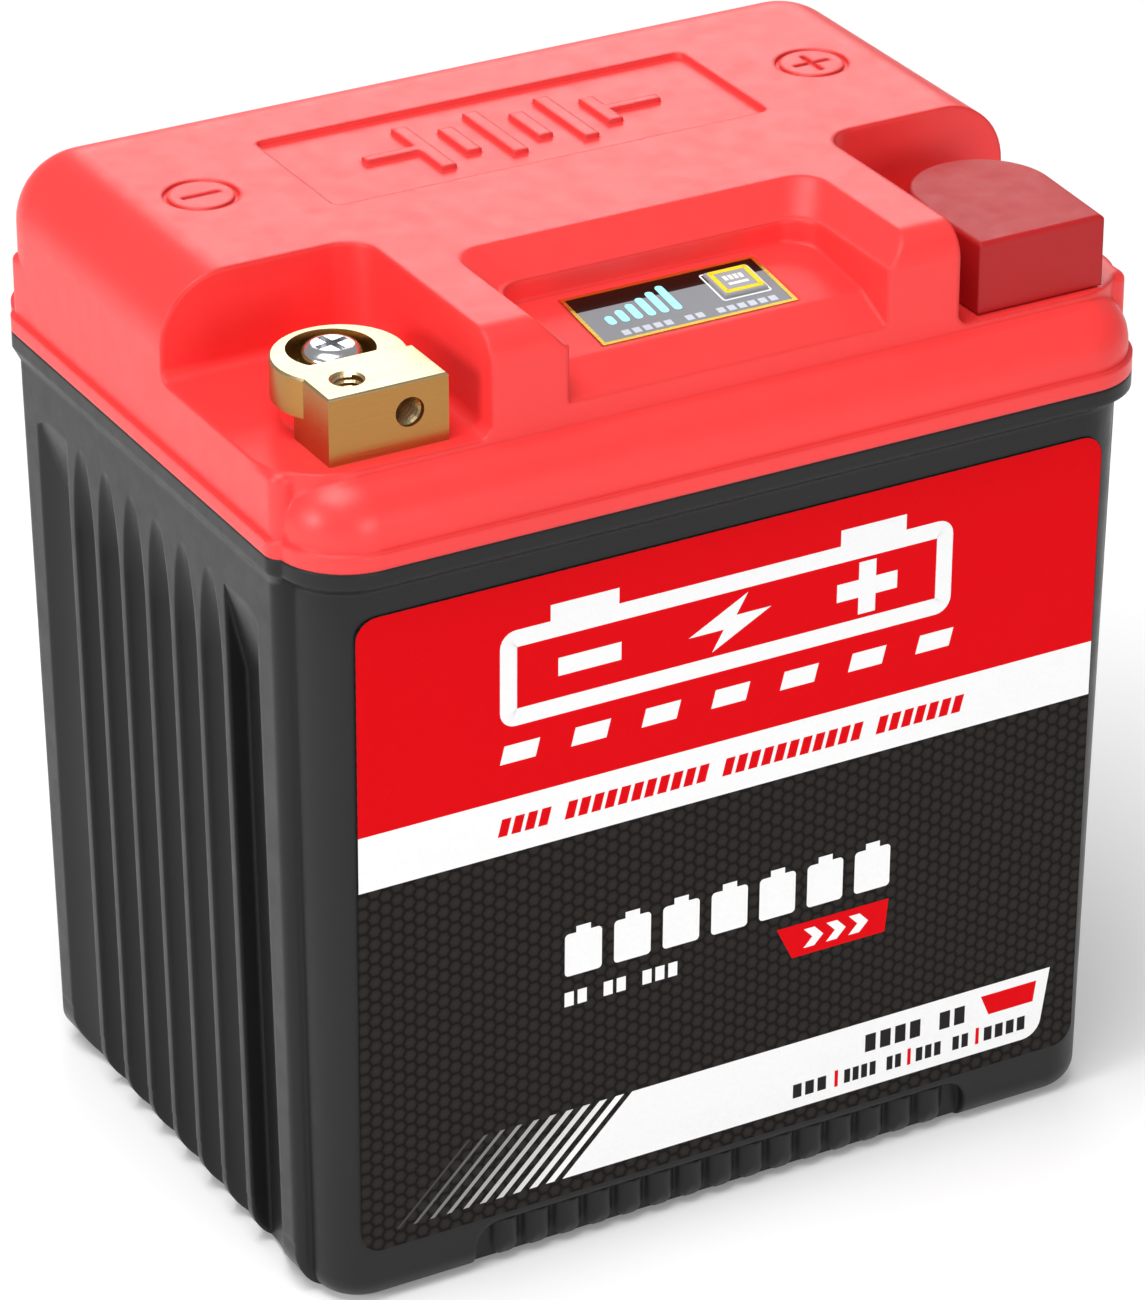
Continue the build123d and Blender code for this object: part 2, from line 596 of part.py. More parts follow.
def make_ties():
    """Four long screws that clamp the two cell holders together."""
    low, high = LOWER_HOLDER_Z, UPPER_HOLDER_Z + HOLDER_H
    shanks_and_heads = [rod(x, y, low, high, 2.0) + rod(x, y, high, high + 2.4, 3.6) for x, y in tie_places()]
    return Compound(children=shanks_and_heads)


def make_busbar(groups, top):
    """Nickel-plated copper sheet with a dimple down to each cell."""
    xs = [(g - 1.5) * CELL_PITCH for g in groups]
    z_cell = CELL_Z0 + CELL_L if top else CELL_Z0
    z_out = UPPER_HOLDER_Z + HOLDER_H if top else LOWER_HOLDER_Z
    low, high = (z_out, z_out + BUS_T) if top else (z_out - BUS_T, z_out)
    bar = box((xs[0] - 9, xs[-1] + 9), (-CELL_PITCH - 9, CELL_PITCH + 9), (low, high))
    if len(xs) > 1:
        slot_x = (xs[0] + 13, xs[-1] - 13)
        bar -= [box(slot_x, (y - 6, y + 6), (low - 1, high + 1)) for y in (-CELL_PITCH / 2, CELL_PITCH / 2)]
    bar += [rod(x, y, *sorted((z_cell, (low + high) / 2)), 5.0) for x in xs for y in (-CELL_PITCH, 0, CELL_PITCH)]
    return bar


# --- protection board and leads ----------------------------------------------------------
def board_posts():
    width, depth, _ = BOARD_SIZE
    return [(x * (width / 2 - 5), y * (depth / 2 - 5)) for x in (-1, 1) for y in (-1, 1)]


def make_standoffs():
    z0 = INSULATION_Z + 0.6
    posts = []
    for x, y in board_posts():
        post = rod(x, y, z0, BOARD_Z, 3.6) - rod(x, y, BOARD_Z - 7, BOARD_Z + 1, 1.4)
        posts.append(post)
    return Compound(children=posts)


def make_board():
    width, depth, thick = BOARD_SIZE
    board = slab(width, depth, 3.0, BOARD_Z, BOARD_Z + thick)
    return board - [rod(x, y, BOARD_Z - 1, BOARD_Z + thick + 1, 1.7) for x, y in board_posts()]


def make_board_screws():
    top = BOARD_Z + BOARD_SIZE[2]
    screws = [rod(x, y, BOARD_Z - 6, top, 1.4) + rod(x, y, top, top + 2.0, 2.8) for x, y in board_posts()]
    return Compound(children=screws)


def make_transistors():
    """Two rows of power transistors that switch the pack off when a cell is out of range."""
    z0 = BOARD_Z + BOARD_SIZE[2]
    return Compound(children=[
        box((x - 4.5, x + 4.5), (y - 4, y + 4), (z0, z0 + 2.2))
        for x in (-30, -18, -6, 6, 18, 30) for y in (-9, 9)])


def make_heat_spreader():
    """Aluminium plate with fins, pressed on the transistors."""
    z0 = BOARD_Z + BOARD_SIZE[2] + 2.2
    plate = box((-38, 38), (-15, 15), (z0, z0 + 3))
    return plate + [box((-38, 38), (y - 0.9, y + 0.9), (z0 + 3, z0 + 10)) for y in (-12, -6, 0, 6, 12)]


def lead_points(side):
    """Run of a main lead, from its clamp on the board up to the lug under its terminal."""
    pad_z = BOARD_Z + BOARD_SIZE[2] + LEAD_R
    return [
        (side * 44.0, -14.0, pad_z),
        (side * 54.0, -14.0, pad_z),
        (side * 64.5, -12.0, pad_z + 9.0),
        (side * 66.0, -9.0, pad_z + 23.0),
        (side * 63.6, -5.5, pad_z + 37.0),
        (side * SCREW_X, -9.5, LUG_AXIS_Z),
        (side * SCREW_X, LUG_Y[1], LUG_AXIS_Z),
    ]


def make_lead(side):
    """Insulated cable, 6 mm, in straight runs joined by tangent arcs."""
    points = [Vector(*p) for p in lead_points(side)]
    radii = []
    for a, b, c in zip(points, points[1:], points[2:]):
        turn = radians((b - a).get_angle(c - b))
        shorter = min((b - a).length, (c - b).length)
        radii.append(0.45 * shorter / tan(turn / 2))
    print("lead radii", [round(r, 1) for r in radii])
    path = FilletPolyline(*points, radius=radii)
    start = Plane(points[0], z_dir=points[1] - points[0])
    cable = sweep(start * Circle(LEAD_R), path=path)
    print("lead volume over section times length", round(cable.volume / (path.length * pi * LEAD_R ** 2), 3))
    return cable


def make_lug(side):
    """Crimp lug: a ring under the insert and a barrel on the cable."""
    z1 = INSERT_Z0
    plate = rod(0, SCREW_Y, z1 - 1.6, z1, 6.6) + box((-4, 4), (SCREW_Y, LUG_Y[0]), (z1 - 1.6, z1))
    plate += Pos(0, sum(LUG_Y) / 2, LUG_AXIS_Z) * Rot(90, 0, 0) * Cylinder(3.6, LUG_Y[1] - LUG_Y[0])
    plate += box((-4, 4), (LUG_Y[0] - 1.2, LUG_Y[0] + 0.5), (LUG_AXIS_Z, z1 - 0.4))
    plate -= rod(0, SCREW_Y, z1 - 3, z1 + 1, 2.7)
    return Pos(side * SCREW_X, 0, 0) * plate


def make_lug_bolt(side):
    """Short hexagon bolt that clamps the lug to the insert from below."""
    z1 = INSERT_Z0 - 1.6
    head = Pos(0, 0, z1 - 3.6) * extrude(RegularPolygon(5.6, 6), 3.6)
    return Pos(side * SCREW_X, SCREW_Y, 0) * (head + rod(0, 0, z1, INSERT_Z0 + 2.6, 2.5))


def make_lead_clamps():
    """Copper blocks on the board that hold the two main leads."""
    z0 = BOARD_Z + BOARD_SIZE[2]
    return Compound(children=[box(sorted((s * 39.0, s * 44.0)), (-18, -10), (z0, z0 + 7)) for s in (-1, 1)])


def make_strap(side):
    """Copper strap from an end busbar, past the edge of the board, to its top side."""
    low = UPPER_HOLDER_Z + HOLDER_H + BUS_T
    high = BOARD_Z + BOARD_SIZE[2]
    strap = box((52.5, 58.5), (14, 26), (low, low + 1))
    strap += box((57.5, 58.5), (14, 26), (low, high + 1))
    strap += box((50.0, 58.5), (14, 26), (high, high + 1))
    return strap if side > 0 else mirrored(strap)


def make_balance_ribbon():
    """Flat five-wire ribbon from the links under the cells up to the board."""
    wall_y = HOLDER_SIZE[1] / 2 + 0.3
    low, high = LOWER_HOLDER_Z - BUS_T - 0.6, BOARD_Z + BOARD_SIZE[2] + 2.0
    ribbon = box((-12, 12), (wall_y, wall_y + 0.8), (low, high))
    ribbon += box((-12, 12), (38, wall_y + 0.8), (low, low + 0.6))
    ribbon += box((-12, 12), (36, wall_y + 0.8), (high - 0.8, high))
    return ribbon


def make_balance_plug():
    z0 = BOARD_Z + BOARD_SIZE[2]
    return box((-13, 13), (29, 36), (z0, z0 + 5))


def make_display_ribbon():
    """Flat cable from the display board down to the protection board."""
    top = on_shelf(0, 0, BOARD_DROP + 1.6).position
    z0 = BOARD_Z + BOARD_SIZE[2]
    ribbon = box((-5, 5), (top.Y - 0.3, top.Y + 0.3), (z0 + 1.4, top.Z))
    ribbon &= on_shelf(0, 0, BOARD_DROP + 1.6 + 60) * Box(40, 40, 120)
    return ribbon + box((-5, 5), (top.Y - 0.3, -33.0), (z0 + 1.4, z0 + 2.0))


def make_display_plug():
    z0 = BOARD_Z + BOARD_SIZE[2]
    return box((-6, 6), (-33.0, -28.0), (z0, z0 + 4))


def make_foams():
    """Closed-cell foam that keeps the pack from rattling in the case."""
    bottom = slab(144, 103, 6, FLOOR_T, LOWER_HOLDER_Z - BUS_T - 0.6)
    sides = Compound(children=[box(sorted((s * 70.2, s * 73.8)), (-42, 42), (18, 78)) for s in (-1, 1)])
    upper = slab(92, 72, 4, BOARD_Z + 14.0, SHELF_Z - 14.0)
    return bottom, sides, Pos(0, 11, 0) * upper


def make_insulation():
    return slab(113.0, 100.0, 3.0, INSULATION_Z, INSULATION_Z + 0.6)


def make_label():
    """Printed film on the flat front of the case."""
    low, high = 11.0, 134.2
    middle = (low + high) / 2
    film = Box(144.6, 0.25, high - low)
    film = fillet([e for e in film.edges().filter_by(Axis.Y)], 4.0)
    face_y = -(CASE_TOP_Y - lean(SPLIT_Z - middle))
    return Pos(0, face_y, middle) * Rot(DRAFT, 0, 0) * Pos(0, -0.125, 0) * film


def main():
    save("case", make_case())
    save("cover", make_cover())
    save("cover_seal", gasket_ring())
    save("front_label", make_label())
    for side, name in ((-1, "negative"), (1, "positive")):
        save(f"{name}_terminal", make_terminal(side))
        save(f"{name}_terminal_screw", make_terminal_screw(side))
        save(f"{name}_lug", make_lug(side))
        save(f"{name}_lead", make_lead(side))
        save(f"{name}_strap", make_strap(side))
    save("terminal_seals", Compound(children=[make_terminal_seal(side) for side in (-1, 1)]))
    save("terminal_inserts", Compound(children=[make_insert(side) for side in (-1, 1)]))
    save("lug_bolts", Compound(children=[make_lug_bolt(side) for side in (-1, 1)]))
    save("positive_cap", make_positive_cap())
    save("display_window", make_display_window())
    save("display_bezel", make_display_bezel())
    save("display_board", make_display_board())
    save("display_light_guides", make_light_guides())
    save("display_screws", make_display_screws())
    save("display_ribbon", make_display_ribbon())
    save("display_plug", make_display_plug())
    save("test_switch", make_tact_switch())
    save("test_button", make_test_button())
    for number, (group, _, x, y) in enumerate(cell_places(), start=1):
        save(f"cell_{number:02d}", make_cell(x, y, group % 2 == 1))
    save("lower_cell_holder", make_holder(LOWER_HOLDER_Z, True))
    save("upper_cell_holder", make_holder(UPPER_HOLDER_Z, False))
    save("holder_ties", make_ties())
    save("negative_busbar", make_busbar([0], True))
    save("middle_link", make_busbar([1, 2], True))
    save("positive_busbar", make_busbar([3], True))
    save("lower_link_left", make_busbar([0, 1], False))
    save("lower_link_right", make_busbar([2, 3], False))
    save("insulating_sheet", make_insulation())
    save("board_standoffs", make_standoffs())
    save("protection_board", make_board())
    save("board_screws", make_board_screws())
    save("board_transistors", make_transistors())
    save("heat_spreader", make_heat_spreader())
    save("lead_clamps", make_lead_clamps())
    save("balance_ribbon", make_balance_ribbon())
    save("balance_plug", make_balance_plug())
    bottom, sides, upper = make_foams()
    save("bottom_foam", bottom)
    save("side_foams", sides)
    save("upper_foam", upper)


main()
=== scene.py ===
# %% [markdown]
# # A motorcycle battery
# The measured model of the battery is loaded first, and it stays as it is. Everything below gives it a
# finish, or adds the thin things that a measured model leaves out: the printed label, the face of the
# charge display, and the threads in the terminals. Lengths are in metres, and the battery stands on z = 0
# with its label facing -Y.

# %% Load the measured model
import json
from math import atan2, cos, pi, radians, sin
import bmesh
import bpy
from mathutils import Matrix, Vector


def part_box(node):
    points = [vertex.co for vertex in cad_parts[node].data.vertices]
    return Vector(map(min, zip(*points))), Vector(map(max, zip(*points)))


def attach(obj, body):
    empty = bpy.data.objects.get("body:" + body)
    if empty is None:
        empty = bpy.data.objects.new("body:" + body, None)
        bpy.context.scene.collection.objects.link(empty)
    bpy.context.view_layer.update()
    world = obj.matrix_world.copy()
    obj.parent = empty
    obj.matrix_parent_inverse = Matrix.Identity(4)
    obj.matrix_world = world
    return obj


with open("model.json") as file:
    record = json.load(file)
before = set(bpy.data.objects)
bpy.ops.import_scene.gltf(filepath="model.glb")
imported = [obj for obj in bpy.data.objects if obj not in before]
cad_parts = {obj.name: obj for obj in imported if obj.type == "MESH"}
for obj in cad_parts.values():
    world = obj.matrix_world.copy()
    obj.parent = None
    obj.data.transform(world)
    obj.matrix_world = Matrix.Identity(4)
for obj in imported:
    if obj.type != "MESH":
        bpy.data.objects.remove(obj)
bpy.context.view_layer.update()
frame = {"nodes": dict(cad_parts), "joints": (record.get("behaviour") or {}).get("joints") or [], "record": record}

MM = 0.001

# %% [markdown]
# ## The camera
# A long lens from a good metre away keeps the upright edges of a small box nearly parallel, as in a
# product picture. The camera stands in front and to the left, and looks down by about 28 degrees. The small
# slides and shifts move the battery in the frame without turning the camera.

# %% Camera
AZIMUTH, ELEVATION = radians(-29.14), radians(27.88)
DISTANCE = 1.0651
LENS_MM, SENSOR_MM = 165.66, 36.0
SHIFT_X, SHIFT_Y = -0.00415, 0.00323
AIM = Vector((0, 0, 0.0875))
SLIDE_RIGHT, SLIDE_UP = 0.00194, -0.00463

away = Vector((sin(AZIMUTH) * cos(ELEVATION), -cos(AZIMUTH) * cos(ELEVATION), sin(ELEVATION)))
across = Vector((cos(AZIMUTH), sin(AZIMUTH), 0.0))
upward = away.cross(across)

lens = bpy.data.cameras.new("product_camera")
lens.lens, lens.sensor_width = LENS_MM, SENSOR_MM
lens.shift_x, lens.shift_y = SHIFT_X, SHIFT_Y
lens.clip_start, lens.clip_end = 0.05, 20.0
camera = bpy.data.objects.new("product_camera", lens)
camera.matrix_world = Matrix((across, upward, away)).transposed().to_4x4()
camera.location = AIM + away * DISTANCE + across * SLIDE_RIGHT + upward * SLIDE_UP
bpy.context.scene.collection.objects.link(camera)
bpy.context.scene.camera = camera
print("camera at", [round(v, 3) for v in camera.location])

# %% [markdown]
# ## Floor and light
# A pale floor with no visible end is a studio's paper sweep, and a faint glow lifts it to the pure white of
# a catalogue page. Four soft square lamps stand round the battery. The one above makes the top the
# brightest side. The left one lights the fluted end. The front one is low, so that it falls on the label
# and not on the rounded ledge above it. The weak one behind, on the right, opens the shadows. The even grey
# world stands for the walls of the room. Small strong lamps would give hard shadows.

# %% Floor
SWEEP_HALF = 6.0
PAPER_TONE, PAPER_GLOW = 0.88, 0.14

sweep_mesh = bmesh.new()
bmesh.ops.create_grid(sweep_mesh, x_segments=1, y_segments=1, size=SWEEP_HALF)
floor_data = bpy.data.meshes.new("studio_floor")
sweep_mesh.to_mesh(floor_data)
sweep_mesh.free()
floor = bpy.data.objects.new("studio_floor", floor_data)
bpy.context.scene.collection.objects.link(floor)

paper = bpy.data.materials.new("studio_paper")
paper.use_nodes = True
paper_inputs = paper.node_tree.nodes["Principled BSDF"].inputs
paper_inputs["Base Color"].default_value = (PAPER_TONE, PAPER_TONE, PAPER_TONE, 1)
paper_inputs["Roughness"].default_value = 0.9
paper_inputs["Emission Color"].default_value = (1, 1, 1, 1)
paper_inputs["Emission Strength"].default_value = PAPER_GLOW
floor_data.materials.append(paper)
print("floor", floor_data.polygons[0].area, "square metres")


# %% Lamps and room
def soft_lamp(name, place, aim, size, watts):
    """A square area lamp at a place, turned to face a point."""
    data = bpy.data.lights.new(name, "AREA")
    data.shape, data.size, data.energy = "SQUARE", size, watts
    lamp = bpy.data.objects.new(name, data)
    lamp.location = place
    lamp.rotation_euler = (Vector(place) - Vector(aim)).to_track_quat("Z", "Y").to_euler()
    bpy.context.scene.collection.objects.link(lamp)


middle = (0, 0, 0.1)
soft_lamp("lamp_above", (-0.35, -0.15, 1.25), middle, 0.8, 12.5)
soft_lamp("lamp_left", (-1.45, -0.25, 0.55), middle, 0.5, 9.5)
soft_lamp("lamp_front", (0.10, -1.6, 0.42), middle, 0.6, 6.2)
soft_lamp("lamp_behind", (0.62, 1.12, 0.72), middle, 0.7, 4.0)

ROOM_LIGHT = 0.30
room = bpy.data.worlds.new("room")
room.use_nodes = True
room.node_tree.nodes["Background"].inputs["Color"].default_value = (1.0, 1.0, 1.0, 1)
room.node_tree.nodes["Background"].inputs["Strength"].default_value = ROOM_LIGHT
bpy.context.scene.world = room
bpy.context.scene.view_settings.view_transform = "Standard"

# %% [markdown]
# ## How a finish is put together
# Every finish starts from the same three things that make a surface look real: a tone that drifts a
# little from place to place, a gloss that isn't quite even, and a fine relief. All three are noise on
# Object coordinates, so that the pattern sits in the part like grain in wood and moves with it. Values
# that are the same all over go on the shader itself.


# %% Base of every finish
def new_finish(name, roughness, metallic=0.0, coat=0.0, coat_roughness=0.1, mirror=0.5):
    """An empty finish: its tree and its shader; mirror is how much light the surface throws back."""
    material = bpy.data.materials.new(name)
    material.use_nodes = True
    tree = material.node_tree
    shader = tree.nodes["Principled BSDF"]
    shader.inputs["Roughness"].default_value = roughness
    shader.inputs["Metallic"].default_value = metallic
    shader.inputs["Coat Weight"].default_value = coat
    shader.inputs["Coat Roughness"].default_value = coat_roughness
    shader.inputs["Specular IOR Level"].default_value = mirror
    return material, tree, shader


def place_on_object(tree, stretch=(1, 1, 1)):
    """Object coordinates in metres, stretched along the axes."""
    coords = tree.nodes.new("ShaderNodeTexCoord")
    mapping = tree.nodes.new("ShaderNodeMapping")
    mapping.inputs["Scale"].default_value = stretch
    tree.links.new(coords.outputs["Object"], mapping.inputs["Vector"])
    return mapping.outputs["Vector"]


def noise(tree, place, per_metre, detail=2.0, roughness=0.5):
    """Fractal noise with a given number of cells to the metre."""
    node = tree.nodes.new("ShaderNodeTexNoise")
    node.inputs["Scale"].default_value = per_metre
    node.inputs["Detail"].default_value = detail
    node.inputs["Roughness"].default_value = roughness
    tree.links.new(place, node.inputs["Vector"])
    return node.outputs["Fac"]


def ramp(tree, value, stops):
    """Colours at positions along a value from 0 to 1."""
    node = tree.nodes.new("ShaderNodeValToRGB")
    while len(node.color_ramp.elements) < len(stops):
        node.color_ramp.elements.new(0.5)
    for element, (position, colour) in zip(node.color_ramp.elements, stops):
        element.position, element.color = position, (*colour, 1)
    tree.links.new(value, node.inputs["Fac"])
    return node.outputs["Color"]


def spread(tree, value, low, high):
    """The middle of a noise value, stretched over a range."""
    node = tree.nodes.new("ShaderNodeMapRange")
    for socket, number in (("From Min", 0.3), ("From Max", 0.7), ("To Min", low), ("To Max", high)):
        node.inputs[socket].default_value = number
    tree.links.new(value, node.inputs["Value"])
    return node.outputs["Result"]


def relief(tree, shader, height, depth, soft_edge=0.0):
    """Bumps of a real depth, in metres; soft_edge rounds the light on edges, as a mould's corners do."""
    node = tree.nodes.new("ShaderNodeBump")
    node.inputs["Strength"].default_value = 1.0
    node.inputs["Distance"].default_value = depth
    tree.links.new(height, node.inputs["Height"])
    if soft_edge:
        corner = tree.nodes.new("ShaderNodeBevel")
        corner.samples = 6
        corner.inputs["Radius"].default_value = soft_edge
        tree.links.new(corner.outputs["Normal"], node.inputs["Normal"])
    tree.links.new(node.outputs["Normal"], shader.inputs["Normal"])


def shade(colour, factor):
    return tuple(min(1.0, c * factor) for c in colour)


print("helpers for finishes are ready")

# %% [markdown]
# ## Moulded plastic and rubber
# The case and cover are moulded, and a mould is spark-eroded to a fine even grain, which takes the sharp
# shine off the plastic. The grain here is noise with cells of about a third of a millimetre and a relief of
# some hundredths. A slow change of tone over several centimetres is the flow of the melt.


# %% Moulded finishes
def moulded(name, colour, roughness, grain=2600, depth=0.00002, drift=0.05,
            coat=0.0, mirror=0.5, soft_edge=0.0):
    """Plastic or rubber from a grained mould."""
    material, tree, shader = new_finish(name, roughness, coat=coat, coat_roughness=0.25, mirror=mirror)
    place = place_on_object(tree)
    tone = ramp(tree, noise(tree, place, 22, 3),
                [(0.3, shade(colour, 1 - drift)), (0.7, shade(colour, 1 + drift))])
    tree.links.new(tone, shader.inputs["Base Color"])
    tree.links.new(spread(tree, noise(tree, place, 240, 4), roughness - 0.04, roughness + 0.04),
                   shader.inputs["Roughness"])
    relief(tree, shader, noise(tree, place, grain, 2), depth, soft_edge)
    return material


finishes = {
    "case_black": moulded("case_black", (0.0125, 0.0125, 0.013), 0.36, 1900, 0.00002, 0.08,
                          mirror=0.24, soft_edge=0.0011),
    "cover_red": moulded("cover_red", (0.90, 0.043, 0.042), 0.36, 2200, 0.000012, 0.03,
                         mirror=0.40, soft_edge=0.0012),
    "cap_red": moulded("cap_red", (0.44, 0.010, 0.012), 0.46, 1700, 0.00002, 0.05,
                       mirror=0.30, soft_edge=0.0007),
    "seal_rubber": moulded("seal_rubber", (0.015, 0.015, 0.016), 0.70, 1500, 0.00004, 0.15),
    "holder_black": moulded("holder_black", (0.030, 0.030, 0.033), 0.55, 900, 0.00005, 0.20),
    "switch_black": moulded("switch_black", (0.020, 0.020, 0.021), 0.40, 3000, 0.00001, 0.10),
    "plug_white": moulded("plug_white", (0.78, 0.76, 0.70), 0.40, 2500, 0.00001, 0.04),
    "button_pale": moulded("button_pale", (0.33, 0.34, 0.36), 0.35, 2500, 0.00001, 0.03),
    "lead_black": moulded("lead_black", (0.018, 0.018, 0.019), 0.48, 1200, 0.00003, 0.10),
    "lead_red": moulded("lead_red", (0.50, 0.012, 0.012), 0.48, 1200, 0.00003, 0.06),
}
print("moulded finishes", sorted(finishes))

# %% [markdown]
# ## Metals
# The terminals are sawn and milled from brass bar, so they carry fine parallel tool marks: noise that is
# stretched a hundred times along one axis. Zinc plating is whiter and has a soft cloudy look. Nickel,
# copper and aluminium get the same tool marks in their own colours.


# %% Metal finishes
def painted_shade_by_normal(tree, painted_shade_colour, level):
    """Painted shade: a darker colour on upright faces and the given tone on level ones, told apart by the
    surface's own direction.
    """
    coords = tree.nodes.new("ShaderNodeTexCoord")
    split = tree.nodes.new("ShaderNodeSeparateXYZ")
    tree.links.new(coords.outputs["Normal"], split.inputs["Vector"])
    mix = tree.nodes.new("ShaderNodeMix")
    mix.data_type = "RGBA"
    mix.inputs["A"].default_value = (*painted_shade_colour, 1)
    tree.links.new(split.outputs["Z"], mix.inputs["Factor"])
    tree.links.new(level, mix.inputs["B"])
    return mix.outputs["Result"]


def machined(name, colour, roughness, along="X", lines=5200, depth=0.000004, cloud=0.10, painted_shade_sides=None):
    """Bare metal with fine tool marks along one axis; the optional colour for upright faces is painted shade."""
    material, tree, shader = new_finish(name, roughness, metallic=1.0)
    stretch = {"X": (0.01, 1, 1), "Y": (1, 0.01, 1), "Z": (1, 1, 0.01)}[along]
    marks = noise(tree, place_on_object(tree, stretch), lines, 2)
    place = place_on_object(tree)
    tone = ramp(tree, noise(tree, place, 160, 4, 0.6), [(0.3, shade(colour, 1 - cloud)), (0.7, colour)])
    if painted_shade_sides:
        tone = painted_shade_by_normal(tree, painted_shade_sides, tone)
    tree.links.new(tone, shader.inputs["Base Color"])
    tree.links.new(spread(tree, marks, roughness - 0.07, roughness + 0.10), shader.inputs["Roughness"])
    relief(tree, shader, marks, depth)
    return material


finishes.update({
    # The brass's upright faces are painted a darker brown as shade, and its level faces keep the full brass tone.
    "brass": machined("brass", (0.80, 0.68, 0.42), 0.32, painted_shade_sides=(0.41, 0.21, 0.062)),
    "zinc_steel": machined("zinc_steel", (0.86, 0.87, 0.89), 0.16, "Z", 3000, 0.000002, 0.06),
    "bezel_gilt": machined("bezel_gilt", (0.95, 0.66, 0.10), 0.28, "X", 6000, 0.000002, 0.12),
    "nickel": machined("nickel", (0.74, 0.71, 0.66), 0.30, "Y", 2500, 0.000004, 0.12),
    "copper": machined("copper", (0.86, 0.46, 0.30), 0.30, "X", 2500, 0.000004, 0.20),
    "aluminium": machined("aluminium", (0.78, 0.79, 0.80), 0.34, "X", 2500, 0.000006, 0.08),
})
print("metal finishes made;", len(finishes), "so far")

# %% [markdown]
# ## The printed film of the label
# The dark lower part of the label is printed with a fine honeycomb. A honeycomb can be worked out from two
# rectangular grids, one shifted by half a cell each way: every point belongs to the nearer of the two grid
# centres, and its six-sided distance from that centre is the larger of two straight distances. Doing this
# with maths nodes keeps every cell the same size, which a Voronoi texture on its own wouldn't.

# %% Honeycomb
HEX_PITCH = 2.5 * MM            # between neighbours in one column
LEAN = radians(0.77)            # the case wall leans back by this much


def honeycomb(tree):
    """Six-sided distance from the nearest cell centre: 0 in the middle, 0.5 on the wall."""
    nodes, links = tree.nodes, tree.links
    cell = (3 ** 0.5, 1.0)
    coords = nodes.new("ShaderNodeTexCoord")
    split = nodes.new("ShaderNodeSeparateXYZ")
    links.new(coords.outputs["Object"], split.inputs["Vector"])

    def maths(operation, a, b=None):
        node = nodes.new("ShaderNodeMath")
        node.operation = operation
        for socket, value in zip(node.inputs, (a, b)):
            if value is None:
                continue
            if isinstance(value, (int, float)):
                socket.default_value = value
            else:
                links.new(value, socket)
        return node.outputs[0]

    u = maths("MULTIPLY", split.outputs["X"], 1 / HEX_PITCH)
    v = maths("MULTIPLY", split.outputs["Z"], 1 / HEX_PITCH)

    def from_centre(value, size, shift):
        wrapped = maths("FLOORED_MODULO", maths("ADD", value, 100 * size + shift), size)
        return maths("ABSOLUTE", maths("SUBTRACT", wrapped, size / 2))

    distances = []
    for shift in (0.0, 0.5):
        x = from_centre(u, cell[0], cell[0] * shift)
        y = from_centre(v, cell[1], cell[1] * shift)
        slanted = maths("ADD", maths("MULTIPLY", x, 0.75 ** 0.5), maths("MULTIPLY", y, 0.5))
        distances.append(maths("MAXIMUM", slanted, y))
    return maths("MINIMUM", *distances)


def honeycomb_film(name):
    """Glossy film: brown-black cells with darker walls."""
    material, tree, shader = new_finish(name, 0.36, mirror=0.06)
    distance = honeycomb(tree)
    tone = ramp(tree, distance, [(0.0, (0.027, 0.023, 0.020)), (0.33, (0.020, 0.017, 0.015)),
                                 (0.47, (0.006, 0.005, 0.005))])
    tree.links.new(tone, shader.inputs["Base Color"])
    place = place_on_object(tree)
    tree.links.new(spread(tree, noise(tree, place, 400, 3), 0.30, 0.38), shader.inputs["Roughness"])
    relief(tree, shader, noise(tree, place, 1500, 2), 0.000006)
    return material


finishes["label_film"] = honeycomb_film("label_film")
print("honeycomb of", round(HEX_PITCH / MM, 2), "mm")

# %% [markdown]
# ## Finishes of the inside
# The inside is closed, but a cut-away or an exploded picture shows it: shrink sleeves on the cells, green
# boards with fine copper tracks under the lacquer, foam with open pores, a fibre sheet and ribbon cables.


# %% Inner finishes
def sleeve(name):
    """Shrink sleeve: blue, with a pale ring near each end of the cell."""
    material, tree, shader = new_finish(name, 0.30, coat=0.3)
    low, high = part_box("cell_01")
    coords = tree.nodes.new("ShaderNodeTexCoord")
    split = tree.nodes.new("ShaderNodeSeparateXYZ")
    tree.links.new(coords.outputs["Object"], split.inputs["Vector"])
    along = tree.nodes.new("ShaderNodeMapRange")
    along.inputs["From Min"].default_value, along.inputs["From Max"].default_value = low.z, high.z
    tree.links.new(split.outputs["Z"], along.inputs["Value"])
    pale, blue = (0.70, 0.72, 0.74), (0.03, 0.16, 0.42)
    tone = ramp(tree, along.outputs["Result"],
                [(0.0, pale), (0.035, pale), (0.045, blue), (0.955, blue), (0.965, pale)])
    tree.links.new(tone, shader.inputs["Base Color"])
    relief(tree, shader, noise(tree, place_on_object(tree), 700, 3), 0.00002)
    return material


def circuit_board(name):
    """Green lacquer over a maze of tracks."""
    material, tree, shader = new_finish(name, 0.28, coat=0.4)
    cells = tree.nodes.new("ShaderNodeTexVoronoi")
    cells.distance = "MANHATTAN"
    cells.inputs["Scale"].default_value = 330
    tree.links.new(place_on_object(tree), cells.inputs["Vector"])
    tone = ramp(tree, cells.outputs["Distance"],
                [(0.0, (0.05, 0.20, 0.08)), (0.45, (0.012, 0.10, 0.035)), (0.7, (0.006, 0.06, 0.02))])
    tree.links.new(tone, shader.inputs["Base Color"])
    relief(tree, shader, cells.outputs["Distance"], 0.00003)
    return material


def foam(name):
    """Closed-cell foam: round pores."""
    material, tree, shader = new_finish(name, 0.90)
    pores = tree.nodes.new("ShaderNodeTexVoronoi")
    pores.inputs["Scale"].default_value = 900
    tree.links.new(place_on_object(tree), pores.inputs["Vector"])
    tone = ramp(tree, pores.outputs["Distance"], [(0.1, (0.012, 0.012, 0.013)), (0.6, (0.05, 0.05, 0.052))])
    tree.links.new(tone, shader.inputs["Base Color"])
    relief(tree, shader, pores.outputs["Distance"], 0.0003)
    return material


